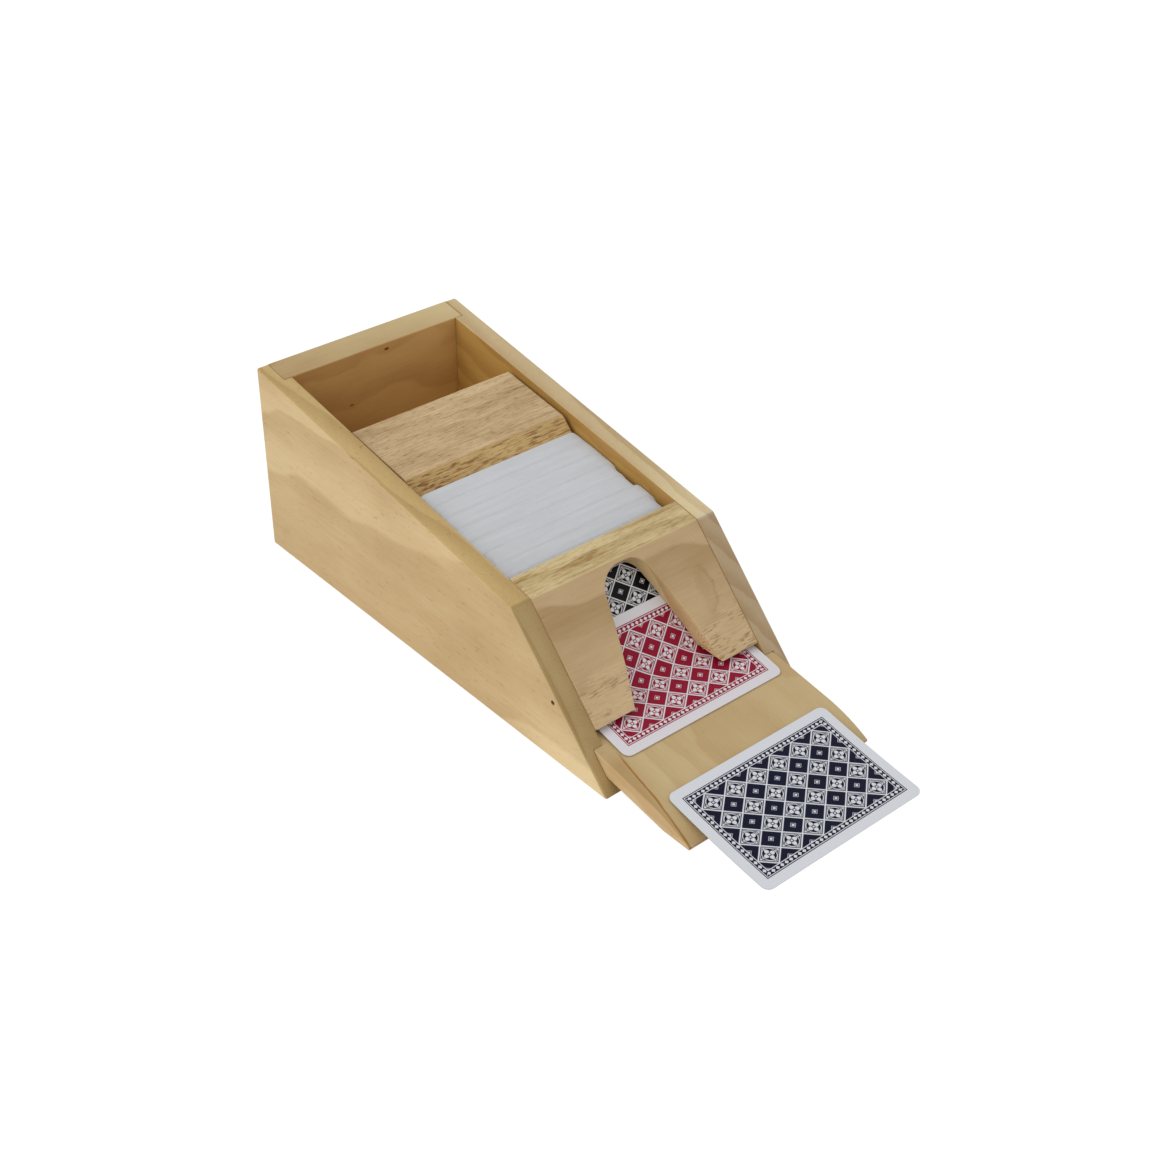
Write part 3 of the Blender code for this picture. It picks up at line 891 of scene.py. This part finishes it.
def field_print(x, y):
    """White parts of the field: a trellis, with a stud or a rosette in turn in its cells."""
    first = x / LOZENGE_LONG + y / LOZENGE_SHORT + 0.5
    second = x / LOZENGE_LONG - y / LOZENGE_SHORT + 0.5
    cell_a = first.fraction() - 0.5
    cell_b = second.fraction() - 0.5
    breadth = LOZENGE_LONG * LOZENGE_SHORT / math.hypot(LOZENGE_LONG, LOZENGE_SHORT)
    edge = (cell_a.size().most(cell_b.size()) * -1 + 0.5) * breadth
    trellis = edge.step(*TRELLIS_EDGE)
    parity = ((first.math("FLOOR") + second.math("FLOOR")) * 0.5).fraction()
    rosette_cell = parity.step(0.2, 0.3)
    local_x = (cell_a + cell_b) * (LOZENGE_LONG / 2)
    local_y = (cell_a - cell_b) * (LOZENGE_SHORT / 2)
    radius = (local_x * local_x + local_y * local_y).math("SQRT")
    angle = local_y.math("ARCTAN2", local_x)

    petal_wave = (angle * PETAL_COUNT).math("COSINE")
    petal_reach = petal_wave * PETAL_SWING + PETAL_REACH
    petals = radius.step(*PETAL_START) * (petal_reach - radius).step(-0.06, 0.06)
    veins = near(petal_wave, -1.0, 0.16, 0.2)
    heart = radius.step(*HEART_EDGE)
    ring = near(radius, *RING_LINE)
    bead_wave = (angle * BEAD_COUNT).math("COSINE")
    beads = near(bead_wave, 1.0, 0.5, 0.3) * near(radius, *BEAD_LINE)
    inner_line = near(edge, *INNER_LINE)
    corner = (local_x.size() - CORNER_PLACE).size() + local_y.size() * CORNER_NARROWING
    rosette = (petals * veins.inverted()).most(heart).most(ring).most(inner_line)
    rosette = rosette.most(beads * edge.step(0.9, 1.0)).most(corner.step(*CORNER_EDGE))
    diamond = local_x.size() + local_y.size() * STUD_NARROWING
    stud = diamond.step(*STUD_EDGE).most(near(diamond, *STUD_LINE))
    return trellis.most(mix_values(rosette_cell, stud, rosette))


def corner_half_width(length):
    """Half the card's width at a distance from its near edge, round corners included."""
    inset = min(length, CARD_SHORT - length)
    if inset >= CARD_CORNER_RADIUS:
        return CARD_LONG / 2
    missing = CARD_CORNER_RADIUS - inset
    bulge = math.sqrt(max(CARD_CORNER_RADIUS**2 - missing**2, 0))
    return CARD_LONG / 2 - CARD_CORNER_RADIUS + bulge


def card_rows():
    """Distances from the near edge where the card's surface has a row of points."""
    corner = []
    for step in range(CORNER_ROWS + 1):
        angle = math.pi / 2 * step / CORNER_ROWS
        corner.append(CARD_CORNER_RADIUS * (1 - math.cos(angle)))
    straight = CARD_SHORT - 2 * CARD_CORNER_RADIUS
    middle = [CARD_CORNER_RADIUS + straight * step / MIDDLE_ROWS for step in range(1, MIDDLE_ROWS)]
    return corner + middle + [CARD_SHORT - length for length in reversed(corner)]


def sheet_card(name, place, materials):
    """A card as a thin closed sheet; place turns (across, length, height) into a point."""
    rows = card_rows()
    builder = bmesh.new()
    uv_layer = builder.loops.layers.uv.new("card_mm")
    layers = []
    for height in (CARD_THICKNESS / 2, -CARD_THICKNESS / 2):
        grid = []
        for length in rows:
            half = corner_half_width(length)
            row = []
            for step in range(CARD_COLUMNS + 1):
                across = half * (2 * step / CARD_COLUMNS - 1)
                row.append((builder.verts.new(place(across, length, height)), across, length))
            grid.append(row)
        layers.append(grid)

    def add_face(corners, index, smooth):
        face = builder.faces.new([corner[0] for corner in corners])
        face.material_index = index
        face.smooth = smooth
        for loop, corner in zip(face.loops, corners):
            loop[uv_layer].uv = (corner[1] / MM + CARD_LONG / MM / 2, corner[2] / MM)

    for index, grid in enumerate(layers):
        for first, second in zip(grid, grid[1:]):
            for step in range(CARD_COLUMNS):
                corners = [first[step], first[step + 1], second[step + 1], second[step]]
                add_face(corners if index == 0 else corners[::-1], index, True)
    top, bottom = [card_border(grid) for grid in layers]
    for step in range(len(top)):
        after = (step + 1) % len(top)
        add_face([top[after], top[step], bottom[step], bottom[after]], RIM, False)
    for edge in builder.edges:
        edge.smooth = all(face.material_index != RIM for face in edge.link_faces)
    return new_object(name, builder, materials)


def card_border(grid):
    """The corners of a card's grid in order round its rim, seen from its printed side."""
    right = [row[-1] for row in grid[1:]]
    left = [row[0] for row in reversed(grid[1:-1])]
    return grid[0] + right + grid[-1][-2::-1] + left


def twisted(across, length, turn):
    """A place on a card after the card is turned in its plane about its near edge's middle."""
    x = across * math.cos(turn) + length * math.sin(turn)
    return x, length * math.cos(turn) - across * math.sin(turn)


def frame_point(origin, tilt, x, along, above):
    """A place in a frame that climbs towards the rear at the tilt."""
    y = along * math.cos(tilt) - above * math.sin(tilt)
    z = along * math.sin(tilt) + above * math.cos(tilt)
    return origin + Vector((x, y, z))


def next_place():
    """Places on the next card, which stands flat behind the plate."""
    low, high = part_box("next_card")
    foot = Vector(((low.x + high.x) / 2, low.y, low.z))
    foot += Vector((0, math.sin(LEAN), 0)) * CARD_THICKNESS

    def place(across, length, height):
        return frame_point(foot, LEAN, across, length, height + CARD_THICKNESS / 2)

    return place


def near_edge_middle(node, turn):
    """Middle of the lower long edge of a card that lies on the ramp, from its box."""
    low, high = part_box(node)
    drop = CARD_LONG / 2 * math.sin(turn)
    spread = CARD_SHORT * math.sin(turn) / 2
    x = (low.x + high.x) / 2 - spread
    return Vector((x, low.y + drop * math.cos(FLOOR_TILT), low.z + drop * math.sin(FLOOR_TILT)))


def dealt_place():
    """Places on the dealt card, bowed like a shallow dish across its short way."""
    origin = near_edge_middle("dealt_card", DEALT_TURN)
    origin.y += SET_BACK
    half = CARD_SHORT / 2 / DEALT_BOW_RADIUS
    origin.z += CARD_THICKNESS / 2

    def place(across, length, height):
        x, distance = twisted(across, length, DEALT_TURN)
        angle = distance / DEALT_BOW_RADIUS - half
        reach = DEALT_BOW_RADIUS - height
        along = DEALT_BOW_RADIUS * math.sin(half) + reach * math.sin(angle)
        above = DEALT_BOW_RADIUS * math.cos(half) - reach * math.cos(angle)
        return frame_point(origin, FLOOR_TILT, x, along, above)

    return place


def drawn_place():
    """Places on the drawn card: straight off the ramp, then bent up behind the plate."""
    low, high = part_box("drawn_card")
    drop = CARD_LONG / 2 * math.sin(DRAWN_TURN)
    origin = near_edge_middle("drawn_card", DRAWN_TURN)
    lift = FLOOR_TILT + DRAWN_LIFT
    bend = DRAWN_BEND_RADIUS * (CARD_ANGLE - DRAWN_LIFT)
    climb = high.z - low.z - CARD_THICKNESS * math.cos(LEAN)
    climb -= drop * (math.sin(LEAN) + math.sin(lift))
    bend_climb = DRAWN_BEND_RADIUS * (math.cos(lift) - math.cos(LEAN))
    straight = (CARD_SHORT - bend) * math.sin(LEAN) + bend_climb - climb
    straight /= math.sin(LEAN) - math.sin(lift)
    origin += Vector((0, math.sin(lift), math.cos(lift))) * CARD_THICKNESS / 2

    def place(across, length, height):
        x, distance = twisted(across, length, DRAWN_TURN)
        on_ramp = min(distance, straight)
        angle = lift + min(max(distance - straight, 0), bend) / DRAWN_BEND_RADIUS
        beyond = max(distance - straight - bend, 0)
        y = on_ramp * math.cos(lift) + beyond * math.cos(LEAN)
        y += DRAWN_BEND_RADIUS * (math.sin(angle) - math.sin(lift)) - height * math.sin(angle)
        z = on_ramp * math.sin(lift) + beyond * math.sin(LEAN)
        z += DRAWN_BEND_RADIUS * (math.cos(lift) - math.cos(angle)) + height * math.cos(angle)
        return origin + Vector((x, y, z))

    return place


def make_cards():
    """The three loose cards as printed sheets, in place of the plain ones."""
    face = card_stock("card_face", (226, 228, 231))
    rim = card_stock("card_rim", (196, 196, 198))
    for node, place, body, slot, ink, white in (
        ("next_card", next_place(), "card_stack", "card_black", (3, 4, 8), (224, 225, 227)),
        ("drawn_card", drawn_place(), "shoe", "card_red", (146, 14, 46), (230, 226, 230)),
        ("dealt_card", dealt_place(), "dealt_card", "card_navy", (0, 6, 36), (226, 229, 235)),
    ):
        card = sheet_card(node + "_printed", place, (printed_back(slot, ink, white), face, rim))
        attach(card, body)
        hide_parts(node)


# The stack, card by card

PACKETS = 8
CARDS_PER_PACKET = 17
CARD_FILL_SHARE = 0.99
STACK_CORNER_STEPS = 5

# How far a card may stand off line, sideways and down
CARD_JITTER = 0.00022
SHIFT_RANGE = (-1, 0.4)
DROP_SHARE = 0.1


def outline_points():
    """A card's outline, from the middle of its near edge up, with round corners."""
    points = []
    inset_x = CARD_LONG / 2 - CARD_CORNER_RADIUS
    inset_y = CARD_SHORT / 2 - CARD_CORNER_RADIUS
    for quarter, (side, end) in enumerate(((1, 1), (-1, 1), (-1, -1), (1, -1))):
        for step in range(STACK_CORNER_STEPS + 1):
            angle = math.pi / 2 * (quarter + step / STACK_CORNER_STEPS)
            x = side * inset_x + CARD_CORNER_RADIUS * math.cos(angle)
            y = end * inset_y + CARD_CORNER_RADIUS * math.sin(angle)
            points.append((x, CARD_SHORT / 2 + y))
    return points


def make_packet(number, material, chance):
    """The cards of one packet, each standing on the sloping floor and a little off line."""
    node = "card_packet_" + str(number)
    low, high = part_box(node)
    up = Vector((0, math.cos(LEAN), math.sin(LEAN)))
    back = Vector((0, math.sin(LEAN), -math.cos(LEAN)))
    floor = Vector((0, math.cos(FLOOR_TILT), math.sin(FLOOR_TILT)))
    run = (high.y - low.y - CARD_SHORT * math.cos(LEAN)) / math.cos(FLOOR_TILT)
    pitch = run / CARDS_PER_PACKET
    thick = pitch * math.sin(CARD_ANGLE)
    front_foot = Vector(((low.x + high.x) / 2, low.y, low.z))
    builder = bmesh.new()
    outline = outline_points()
    for card in range(CARDS_PER_PACKET):
        foot = front_foot + floor * pitch * card
        # A card that leans back stands on the rear edge of its foot
        foot += up * (thick / math.tan(CARD_ANGLE))
        shift = chance.uniform(*SHIFT_RANGE) * CARD_JITTER
        drop = chance.uniform(0, 1) * CARD_JITTER * DROP_SHARE
        rings = []
        for depth in (0, thick * CARD_FILL_SHARE):
            ring = []
            for x, y in outline:
                point = foot + Vector((x + shift, 0, 0)) + up * (y - drop) + back * depth
                ring.append(builder.verts.new(point))
            rings.append(ring)
        add_prism(builder, *rings)
    bmesh.ops.recalc_face_normals(builder, faces=builder.faces[:])
    packet = new_object("stack_cards_" + str(number), builder, (material,))
    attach(packet, "card_stack")
    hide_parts(node)


def make_stack():
    """The stack as separate cards, in place of its packets."""
    chance = random.Random(21)
    material = card_stock("card_edges", (223, 225, 228))
    for number in range(1, PACKETS + 1):
        make_packet(number, material, chance)


# Stage

STAGE_SIZE = 2.0
STAGE_GREY = 0.84
BACKDROP_GLOW = 1.15
BACKDROP_SHARE = 0.8
WORLD_LEVEL = 0.685
KEY_DIRECTION = (-0.741, 0.233, 0.631)
KEY_LEVEL = 0.257
KEY_SIZE = 1.2
KEY_DISTANCE = 1.6
LAMP_TARGET = Vector((0, 0, 0.04))


def seen_directly(tree):
    """1 for rays that reach the eye straight, in a reflection or through glass."""
    rays = tree.nodes.new("ShaderNodeLightPath")
    seen = Wire(tree, rays.outputs["Is Camera Ray"])
    seen = seen.most(Wire(tree, rays.outputs["Is Glossy Ray"]))
    return seen.most(Wire(tree, rays.outputs["Is Transmission Ray"]))


def make_floor():
    """A pale floor that the eye sees as white, but for the object's shadow on it."""
    bpy.ops.mesh.primitive_plane_add(size=STAGE_SIZE)
    floor = bpy.context.object
    floor.name = "stage_floor"
    material = bpy.data.materials.new("stage_floor")
    material.use_nodes = True
    tree = material.node_tree
    tree.nodes.clear()
    output = tree.nodes.new("ShaderNodeOutputMaterial")
    diffuse = tree.nodes.new("ShaderNodeBsdfDiffuse")
    diffuse.inputs["Color"].default_value = (STAGE_GREY, STAGE_GREY, STAGE_GREY, 1)
    glow = tree.nodes.new("ShaderNodeEmission")
    glow.inputs["Strength"].default_value = BACKDROP_GLOW
    blend = tree.nodes.new("ShaderNodeMixShader")
    plug(tree, seen_directly(tree) * BACKDROP_SHARE, blend.inputs[0])
    tree.links.new(diffuse.outputs[0], blend.inputs[1])
    tree.links.new(glow.outputs[0], blend.inputs[2])
    tree.links.new(blend.outputs[0], output.inputs["Surface"])
    floor.data.materials.append(material)


def make_world():
    """An even sky that lights the object at one level and looks white itself."""
    world = bpy.data.worlds.new("studio")
    bpy.context.scene.world = world
    world.use_nodes = True
    tree = world.node_tree
    background = tree.nodes["Background"]
    strength = seen_directly(tree) * (1.0 - WORLD_LEVEL) + WORLD_LEVEL
    plug(tree, strength, background.inputs["Strength"])
    background.inputs["Color"].default_value = (1, 1, 1, 1)


def make_lamp():
    """A square soft box that gives about its level on a face turned to it."""
    lamp = bpy.data.lights.new("key", "AREA")
    lamp.size = KEY_SIZE
    lamp.energy = KEY_LEVEL * math.pi * KEY_DISTANCE**2 * math.pi
    item = bpy.data.objects.new("key", lamp)
    bpy.context.collection.objects.link(item)
    way = Vector(KEY_DIRECTION).normalized()
    item.location = LAMP_TARGET + way * KEY_DISTANCE
    item.rotation_mode = "QUATERNION"
    item.rotation_quaternion = way.to_track_quat("Z", "Y")


def make_camera():
    """The photograph's camera: its place, turn, lens and small shift of the frame."""
    ahead = Vector(
        (
            -math.sin(CAMERA_YAW) * math.cos(CAMERA_PITCH),
            math.cos(CAMERA_YAW) * math.cos(CAMERA_PITCH),
            -math.sin(CAMERA_PITCH),
        )
    )
    right = Vector((math.cos(CAMERA_YAW), math.sin(CAMERA_YAW), 0))
    up = right.cross(ahead)
    rolled_right = right * math.cos(CAMERA_ROLL) + up * math.sin(CAMERA_ROLL)
    rolled_up = up * math.cos(CAMERA_ROLL) - right * math.sin(CAMERA_ROLL)
    turn = Matrix((rolled_right, rolled_up, -ahead)).transposed().to_4x4()
    data = bpy.data.cameras.new("photo_camera")
    data.sensor_width = SENSOR_WIDTH
    data.lens = FOCAL_PX / PHOTO_WIDTH * SENSOR_WIDTH
    data.shift_x = CENTRE_SHIFT_PX[0] / PHOTO_WIDTH
    data.shift_y = CENTRE_SHIFT_PX[1] / PHOTO_WIDTH
    camera = bpy.data.objects.new("photo_camera", data)
    bpy.context.collection.objects.link(camera)
    camera.matrix_world = Matrix.Translation(CAMERA_TARGET - ahead * CAMERA_DISTANCE) @ turn
    bpy.context.scene.camera = camera


make_wood()
make_brads()
make_glue()
make_cards()
make_stack()
make_floor()
make_world()
make_lamp()
make_camera()
bpy.context.scene.view_settings.view_transform = "Standard"
